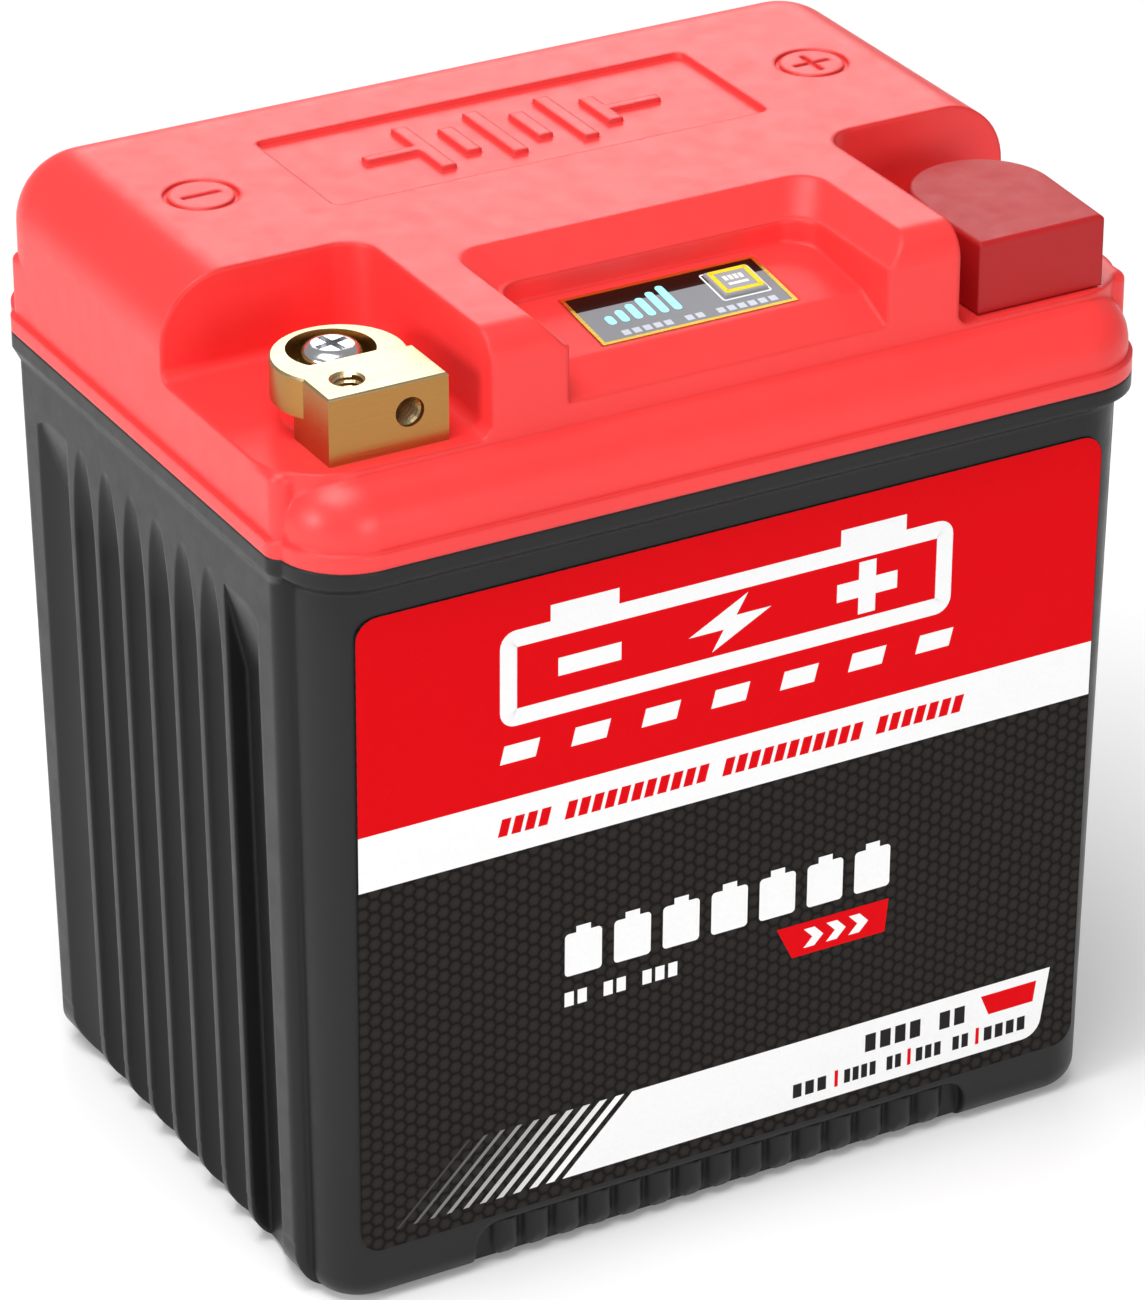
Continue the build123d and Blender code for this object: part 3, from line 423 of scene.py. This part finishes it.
def ribbon(name):
    """Flat cable: grey wires side by side."""
    material, tree, shader = new_finish(name, 0.45)
    wires = tree.nodes.new("ShaderNodeTexWave")
    wires.inputs["Scale"].default_value = 125
    tree.links.new(place_on_object(tree), wires.inputs["Vector"])
    tone = ramp(tree, wires.outputs["Fac"], [(0.1, (0.10, 0.10, 0.11)), (0.6, (0.36, 0.36, 0.38))])
    tree.links.new(tone, shader.inputs["Base Color"])
    relief(tree, shader, wires.outputs["Fac"], 0.0002)
    return material


def fibre_sheet(name):
    """Pressed insulating fibre with short hairs in it."""
    material, tree, shader = new_finish(name, 0.80)
    hairs = noise(tree, place_on_object(tree, (1, 0.15, 1)), 1400, 4, 0.7)
    tone = ramp(tree, hairs, [(0.35, (0.52, 0.46, 0.30)), (0.65, (0.74, 0.68, 0.50))])
    tree.links.new(tone, shader.inputs["Base Color"])
    relief(tree, shader, hairs, 0.00006)
    return material


finishes["cell_sleeve"] = sleeve("cell_sleeve")
finishes["board_green"] = circuit_board("board_green")
finishes["foam_black"] = foam("foam_black")
finishes["ribbon_grey"] = ribbon("ribbon_grey")
finishes["insulation_pale"] = fibre_sheet("insulation_pale")
print("inner finishes made;", len(finishes), "so far")


# %% Lit and clear plastic
def lit_plastic(name, colour, strength):
    """Clear plastic that a lamp shines through."""
    material = moulded(name, colour, 0.30, 3000, 0.00001, 0.04)
    shader = material.node_tree.nodes["Principled BSDF"]
    shader.inputs["Emission Color"].default_value = (*colour, 1)
    shader.inputs["Emission Strength"].default_value = strength
    return material


finishes["light_guide"] = lit_plastic("light_guide", (0.30, 0.88, 1.0), 0.35)
finishes["window_clear"] = moulded("window_clear", (0.30, 0.31, 0.33), 0.22, 3000, 0.000004, 0.05, coat=0.5)
print("lit and clear finishes made")

# %% [markdown]
# ## Finishes on the measured parts
# The record says which finish each part takes, so one loop dresses all of them.

# %% Dress the measured parts
for part in frame["record"]["subparts"]:
    data = frame["nodes"][part["node"]].data
    data.materials.clear()
    data.materials.append(finishes[part["material_slot"]])

# %% [markdown]
# ## Printing
# Ink on a film has almost no thickness, but it has a clean edge, which a painted pattern loses when it is
# stored in a picture. So each printed shape is a real plate a few hundredths of a millimetre thick. It
# starts as one flat face on the XZ plane, its corners may be rounded, and it is pushed out towards -Y. The
# finished drawing is then laid on the leaning wall of the case.


# %% Helpers for printed shapes
def add_shape(drawing, corners, rounding=0.0, which=None):
    """One flat face from corner points in millimetres (across, up)."""
    before = set(drawing.faces)
    points = [drawing.verts.new((x * MM, 0, z * MM)) for x, z in corners]
    drawing.faces.new(points)
    if rounding:
        chosen = points if which is None else [points[i] for i in which]
        bmesh.ops.bevel(drawing, geom=chosen, offset=rounding * MM, offset_type="OFFSET",
                        affect="VERTICES", segments=6, profile=0.5, material=-1)
    return (set(drawing.faces) - before).pop()


def bar(drawing, x0, x1, z0, z1, slant=0.0, rounding=0.0):
    """A four-cornered bar; slant moves its top to the right."""
    return add_shape(drawing, [(x0, z0), (x1, z0), (x1 + slant, z1), (x0 + slant, z1)], rounding)


def rounded_frame(drawing, x0, x1, z0, z1, width, rounding):
    """An even frame: a rounded face whose middle is inset and taken away."""
    face = bar(drawing, x0, x1, z0, z1, rounding=rounding)
    bmesh.ops.inset_region(drawing, faces=[face], thickness=width * MM, use_boundary=True,
                           use_even_offset=True)
    bmesh.ops.delete(drawing, geom=[face], context="FACES_ONLY")


def push_out(drawing, height):
    """Gives every flat face a thickness towards -Y."""
    fresh = bmesh.ops.extrude_face_region(drawing, geom=drawing.faces[:], use_keep_orig=True)
    raised = [v for v in fresh["geom"] if isinstance(v, bmesh.types.BMVert)]
    bmesh.ops.translate(drawing, verts=raised, vec=(0, -height * MM, 0))
    bmesh.ops.recalc_face_normals(drawing, faces=drawing.faces[:])


def make_piece(name, shape, material, body, place=None):
    """Turns a bmesh into a piece that rides on a body."""
    data = bpy.data.meshes.new(name)
    shape.to_mesh(data)
    shape.free()
    if place is not None:
        data.transform(place)
    data.materials.append(material)
    piece = bpy.data.objects.new(name, data)
    bpy.context.scene.collection.objects.link(piece)
    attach(piece, body)
    return piece


def ink(name, colour, roughness=0.34):
    """Printing ink under a clear gloss: nearly even, with the faintest grain."""
    material, tree, shader = new_finish(name, roughness, mirror=0.04)
    place = place_on_object(tree)
    tone = ramp(tree, noise(tree, place, 1800, 2), [(0.3, shade(colour, 0.97)), (0.7, colour)])
    tree.links.new(tone, shader.inputs["Base Color"])
    relief(tree, shader, noise(tree, place, 1500, 2), 0.000005)
    return material


ink_red = ink("ink_red", (0.74, 0.001, 0.005))
ink_white = ink("ink_white", (0.93, 0.93, 0.93))
ink_dark = ink("ink_dark", (0.020, 0.018, 0.018))
print("inks", ink_red.name, ink_white.name, ink_dark.name)

# %% [markdown]
# ## Where the label is
# The label's own frame has its middle in the middle of the film's outer side. Its X runs to the right, its
# Z runs up the leaning wall, and its -Y points out of the battery.

# %% The label's frame
label_low, label_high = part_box("front_label")
label_w, label_h = (label_high.x - label_low.x) / MM, (label_high.z - label_low.z) / MM
label_middle = Vector((0, label_low.y + sin(LEAN) * label_h * MM / 2, (label_low.z + label_high.z) / 2))
on_label = Matrix.Translation(label_middle) @ Matrix.Rotation(LEAN, 4, "X")
Z0 = label_middle.z / MM        # height of the label's middle, to draw with heights above the floor


def label_print(name, drawing, height, material):
    """Pushes a drawing out and lays it on the label; heights are above the floor."""
    bmesh.ops.translate(drawing, verts=drawing.verts[:], vec=(0, 0, -Z0 * MM))
    push_out(drawing, height)
    return make_piece(name, drawing, material, "battery", on_label)


print("label", round(label_w, 1), "x", round(label_h, 1), "mm")

# %% [markdown]
# ## Red field and white stripe
# The upper third of the label is a red field with the label's own rounded corners, and a white stripe
# closes it below.

# %% Red field and white stripe
MARGIN, LABEL_ROUND = 0.1, 3.9  # film left bare round the printing, and the radius of its corners
LABEL_HALF = label_w / 2 - MARGIN
LABEL_TOP = label_high.z / MM - MARGIN
STRIPE = (83.0, 93.6)

drawing = bmesh.new()
add_shape(drawing, [(-LABEL_HALF, STRIPE[1]), (LABEL_HALF, STRIPE[1]),
                    (LABEL_HALF, LABEL_TOP), (-LABEL_HALF, LABEL_TOP)], rounding=LABEL_ROUND, which=(2, 3))
label_print("label_red_field", drawing, 0.02, ink_red)

drawing = bmesh.new()
bar(drawing, -LABEL_HALF, LABEL_HALF, *STRIPE)
label_print("label_white_stripe", drawing, 0.02, ink_white)
print("red field down to", STRIPE[1], "mm, stripe", STRIPE)

# %% [markdown]
# ## The large sign
# A plain picture of a battery fills the red field: an outline with two posts, a minus and a plus on the
# sides where they are on the real one, and a bolt between them. The outline is a rounded face whose middle
# is inset and taken away, which leaves an even frame.

# %% The large sign
SIGN_X, SIGN_Z = (-45.6, 42.4), (107.2, 125.2)
SIGN_FRAME, SIGN_ROUND = 3.2, 3.0
POST_IN, POST_HALF, POST_UP = 16, 6.5, 3.0
SIGN_IN, ARM, ARM_UP, STROKE = 17, 6, 5.0, 1.7     # middle of a sign from the end, its arms, half its stroke
sign_middle, sign_z = sum(SIGN_X) / 2, sum(SIGN_Z) / 2

drawing = bmesh.new()
rounded_frame(drawing, *SIGN_X, *SIGN_Z, width=SIGN_FRAME, rounding=SIGN_ROUND)
for x in (SIGN_X[0] + POST_IN, SIGN_X[1] - POST_IN):
    bar(drawing, x - POST_HALF, x + POST_HALF, SIGN_Z[1], SIGN_Z[1] + POST_UP)
minus, plus = SIGN_X[0] + SIGN_IN, SIGN_X[1] - SIGN_IN
for x in (minus, plus):
    bar(drawing, x - ARM, x + ARM, sign_z - STROKE, sign_z + STROKE)
bar(drawing, plus - STROKE, plus + STROKE, sign_z + STROKE, sign_z + ARM_UP)
bar(drawing, plus - STROKE, plus + STROKE, sign_z - ARM_UP, sign_z - STROKE)
add_shape(drawing, [(sign_middle + x, sign_z + z) for x, z in
                    ((3.4, 4.9), (-8.0, -1.1), (-1.2, -1.1), (-3.4, -4.9), (8.0, 1.1), (1.2, 1.1))])
label_print("label_battery_sign", drawing, 0.04, ink_white)
print("sign", SIGN_X, SIGN_Z)

# %% [markdown]
# ## Small marks
# Rows of short slanted blocks stand where a maker's words would be. They keep the rhythm of words, with a
# gap after every group, and say nothing.


# %% Rows of blocks
def word_row(drawing, x0, x1, z0, z1, words, slant=0.25, gap=0.30):
    """Blocks for each letter of each word, spread between two ends; a word space is one block wide."""
    places = sum(words) + len(words) - 1
    step = (x1 - x0) / places
    x = x0
    for count in words:
        for _ in range(count):
            bar(drawing, x, x + step * (1 - gap), z0, z1, slant * (z1 - z0))
            x += step
        x += step


drawing = bmesh.new()
word_row(drawing, -45.6, 42.4, 100.4, 103.8, (1,) * 7, gap=0.0)
label_print("label_sign_underline", drawing, 0.04, ink_white)

drawing = bmesh.new()
word_row(drawing, -46.0, 46.0, 86.6, 89.9, (4, 11, 11, 7))
label_print("label_stripe_marks", drawing, 0.04, ink_red)
print("rows of blocks drawn")

# %% [markdown]
# ## The row of cells
# Seven white cells in a row, each a rounded bar with a small pole on top, mark the kind of battery. A red
# flag with three chevrons and a row of small blocks stand under it.

# %% Row of cells and flag
CELL_ROW_X, CELL_ROW_Z = (-33.0, 32.0), (55.4, 63.8)
CELLS, CELL_GAP = 7, 2.4
POLE_IN, POLE_UP = 2.2, 1.2

drawing = bmesh.new()
cell_step = (CELL_ROW_X[1] - CELL_ROW_X[0] + CELL_GAP) / CELLS
for i in range(CELLS):
    x = CELL_ROW_X[0] + i * cell_step
    bar(drawing, x, x + cell_step - CELL_GAP, *CELL_ROW_Z, rounding=0.8)
    bar(drawing, x + POLE_IN, x + cell_step - CELL_GAP - POLE_IN, CELL_ROW_Z[1], CELL_ROW_Z[1] + POLE_UP)
word_row(drawing, -33.0, -10.0, 49.4, 52.2, (2, 2, 3), slant=0.0)
label_print("label_cell_row", drawing, 0.03, ink_white)

drawing = bmesh.new()
add_shape(drawing, [(12.4, 46.0), (31.4, 46.0), (32.0, 52.6), (9.2, 52.6)])
label_print("label_flag", drawing, 0.03, ink_red)

drawing = bmesh.new()
for x in (15.6, 20.2, 24.8):
    add_shape(drawing, [(x - 0.9, 47.4), (x + 1.3, 47.4), (x + 3.1, 49.3),
                        (x + 1.3, 51.2), (x - 0.9, 51.2), (x + 0.9, 49.3)])
label_print("label_flag_chevrons", drawing, 0.05, ink_white)
print(CELLS, "cells, one flag")

# %% [markdown]
# ## Banner and fading stripes
# A white banner starts with a slanted end and runs to the right, where its lower corner is round. Slanted
# stripes run out of it to the left and get thinner and darker, as if the white were fading.

# %% Banner
BANNER_Z = (14.4, 28.2)
BANNER_TOP_X, BANNER_FOOT_X = (-19.4, 67.0), (-33.2, 65.0)

drawing = bmesh.new()
add_shape(drawing, [(BANNER_FOOT_X[0], BANNER_Z[0]), (BANNER_FOOT_X[1], BANNER_Z[0]),
                    (BANNER_TOP_X[1], BANNER_Z[1]), (BANNER_TOP_X[0], BANNER_Z[1])], rounding=3.2, which=(1,))
label_print("label_banner", drawing, 0.03, ink_white)

drawing = bmesh.new()
word_row(drawing, 28.2, 50.0, 21.8, 25.4, (4, 2), slant=0.0)
word_row(drawing, 13.4, 21.0, 16.6, 19.4, (3,), slant=0.0)
word_row(drawing, 24.0, 36.4, 16.6, 19.4, (4, 2), slant=0.0)
word_row(drawing, 39.0, 50.6, 16.6, 19.4, (3, 2), slant=0.0)
word_row(drawing, 53.4, 62.8, 16.6, 19.4, (4,), slant=0.0)
label_print("label_banner_marks", drawing, 0.05, ink_dark)

drawing = bmesh.new()
add_shape(drawing, [(54.2, 22.0), (63.6, 22.0), (64.2, 26.2), (52.4, 26.2)])
for x in (22.0, 37.2, 51.6):
    bar(drawing, x, x + 0.7, 16.4, 19.8)
label_print("label_banner_flag", drawing, 0.05, ink_red)
print("banner", BANNER_TOP_X, BANNER_Z)

# %% Fading stripes
STRIPES, STRIPE_STEP, FIRST_GAP = 10, 3.25, 3.3
THINNEST, THICKER = 0.55, 1.1
for i in range(STRIPES):
    fade = 1 - i / STRIPES
    width = THINNEST + THICKER * fade
    x = BANNER_FOOT_X[0] - FIRST_GAP - i * STRIPE_STEP
    drawing = bmesh.new()
    bar(drawing, x, x + width, *BANNER_Z, slant=BANNER_TOP_X[0] - BANNER_FOOT_X[0])
    tone = ink(f"ink_stripe_{i + 1:02d}", shade((0.93, 0.93, 0.93), fade ** 1.2))
    label_print(f"label_stripe_{i + 1:02d}", drawing, 0.03, tone)
print(STRIPES, "stripes")

# %% [markdown]
# ## The face of the display
# The display's window is set in the sloping shelf. Its frame comes from two measured things: the middle of
# the window, and the direction in which the button is pushed, which is straight into the shelf.

# %% The display's frame
press = Vector(next(j for j in frame["joints"] if j["child"] == "button")["axis"]).normalized()
shelf_up = -press
tilt = atan2(-shelf_up.y, shelf_up.z)
window_low, window_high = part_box("display_window")
window_top = (window_low + window_high) / 2 + shelf_up * 0.5 * MM
# a drawing on the XZ plane that is pushed out towards -Y is turned to lie on the shelf, facing up
on_window = Matrix.Translation(window_top) @ Matrix.Rotation(tilt, 4, "X") @ Matrix.Rotation(-pi / 2, 4, "X")
WINDOW_W = (window_high.x - window_low.x) / MM
WINDOW_H = 14.0                 # measured along the slope


def window_print(name, drawing, height, material, body="battery", lift=0.0):
    push_out(drawing, height)
    return make_piece(name, drawing, material, body, on_window @ Matrix.Translation((0, -lift * MM, 0)))


print("window", round(WINDOW_W, 1), "x", WINDOW_H, "mm, tilt", round(tilt / radians(1), 2))

# %% [markdown]
# ## What is printed on the window
# A dark band runs along the top of the window and a grey screen lies below it. Six blue bars rise from
# left to right as the charge does. Their ends are round because each starts as a bar whose four corners are
# rounded by nearly half its width.

# %% Window print
BAND_V = 2.9                    # lower edge of the dark band, from the window's middle
BAR_FOOT_V, BAR_FIRST_U, BAR_STEP_U, BAR_W = -2.5, -13.75, 2.5, 1.5
BAR_SHORT_V, BAR_RISE = 0.1, 1.04       # top of the first bar, and how much higher each next one is

ink_brown = ink("ink_brown", (0.030, 0.006, 0.004), 0.25)
ink_screen = ink("ink_screen", (0.27, 0.28, 0.30), 0.25)
ink_pale = ink("ink_pale", (0.62, 0.66, 0.74), 0.25)
bar_blue = lit_plastic("bar_blue", (0.28, 0.85, 1.0), 0.55)

drawing = bmesh.new()
bar(drawing, -WINDOW_W / 2, WINDOW_W / 2, BAND_V, WINDOW_H / 2)
window_print("display_dark_band", drawing, 0.02, ink_brown)

drawing = bmesh.new()
bar(drawing, -WINDOW_W / 2, WINDOW_W / 2, -WINDOW_H / 2, BAND_V)
window_print("display_screen", drawing, 0.02, ink_screen)

drawing = bmesh.new()
for i in range(6):
    u = BAR_FIRST_U + i * BAR_STEP_U
    bar(drawing, u - BAR_W / 2, u + BAR_W / 2, BAR_FOOT_V, BAR_SHORT_V + i * BAR_RISE, rounding=0.7)
window_print("display_charge_bars", drawing, 0.06, bar_blue)

drawing = bmesh.new()
word_row(drawing, -13.8, 16.4, -6.2, -4.7, (5, 2, 6), slant=0.0)
window_print("display_scale_marks", drawing, 0.04, ink_pale)
print("six bars, first at", BAR_FIRST_U, "mm")

# %% [markdown]
# ## The test button
# The button stands out of the window. A yellow frame runs round its top, and inside it are a grey field and
# a few marks. These ride on the button, so they go down with it. A white line on the window goes round
# the button's opening.

# %% Test button
button_low, button_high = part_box("test_button")
button_half_u = (button_high.x - button_low.x) / MM / 2
button_u = (button_low.x + button_high.x) / 2 / MM
BUTTON_V, BUTTON_FACE_U, BUTTON_FACE_V, BUTTON_PROUD = 1.2, 7.6, 6.9, 0.8
ink_yellow = ink("ink_yellow", (0.95, 0.72, 0.02), 0.28)


def round_button(drawing, half_u, half_v, width, rounding):
    """A frame centred on the button."""
    rounded_frame(drawing, button_u - half_u, button_u + half_u, BUTTON_V - half_v, BUTTON_V + half_v,
                  width, rounding)


drawing = bmesh.new()
round_button(drawing, BUTTON_FACE_U / 2, BUTTON_FACE_V / 2, 0.85, 0.5)
window_print("button_yellow_frame", drawing, 0.05, ink_yellow, "button", BUTTON_PROUD)

drawing = bmesh.new()
word_row(drawing, button_u - 1.9, button_u + 2.1, BUTTON_V + 0.1, BUTTON_V + 1.5, (4,), slant=0.0)
bar(drawing, button_u - 1.9, button_u + 1.9, BUTTON_V - 1.4, BUTTON_V - 0.7)
window_print("button_marks", drawing, 0.03, ink_white, "button", BUTTON_PROUD)

drawing = bmesh.new()
round_button(drawing, 4.75, 4.45, 0.35, 0.6)
window_print("display_button_line", drawing, 0.04, ink_white)
print("button", round(2 * button_half_u, 1), "mm over its flange")

# %% [markdown]
# ## Threads in the terminals
# An M6 thread is a ridge that climbs 1 mm in each turn. Spinning a small triangle round the hole's axis
# while it moves along the axis makes just that. The ridge starts inside the wall, so no gap shows.

# %% Terminal threads
THREAD_PITCH, THREAD_STEPS = 1.0 * MM, 24
TOOTH_HALF, TOOTH_DEEP, TOOTH_ROOT = 0.42 * MM, 0.36 * MM, 0.05 * MM


def thread(name, mount, turns):
    """A helical ridge in the bore of a mount."""
    place, way = Vector(mount["pos_m"]), Vector(mount["axis"]).normalized()
    wall, length = mount["dims"]["r_mm"] * MM, mount["dims"]["length_mm"] * MM
    side = way.orthogonal().normalized()
    start = place + way * (length / 2 - 0.5 * MM)
    ridge = bmesh.new()
    corners = [ridge.verts.new(start + side * r + way * h) for r, h in
               ((wall + TOOTH_ROOT, TOOTH_HALF), (wall - TOOTH_DEEP, 0.0), (wall + TOOTH_ROOT, -TOOTH_HALF))]
    profile = ridge.faces.new(corners)
    bmesh.ops.spin(ridge, geom=[profile, *profile.edges], cent=place, axis=way,
                   dvec=-way * THREAD_PITCH / THREAD_STEPS, angle=2 * pi * turns,
                   steps=THREAD_STEPS * turns, use_merge=False, use_duplicate=False)
    bmesh.ops.recalc_face_normals(ridge, faces=ridge.faces[:])
    return make_piece(name, ridge, finishes["brass"], "battery")


for mount in frame["record"]["mounts"]:
    if mount["kind"] == "threaded_hole":
        turns = int(mount["dims"]["length_mm"]) - 1
        piece = thread(mount["name"] + "_ridge", mount, turns)
        print(piece.name, turns, "turns,", len(piece.data.polygons), "faces")
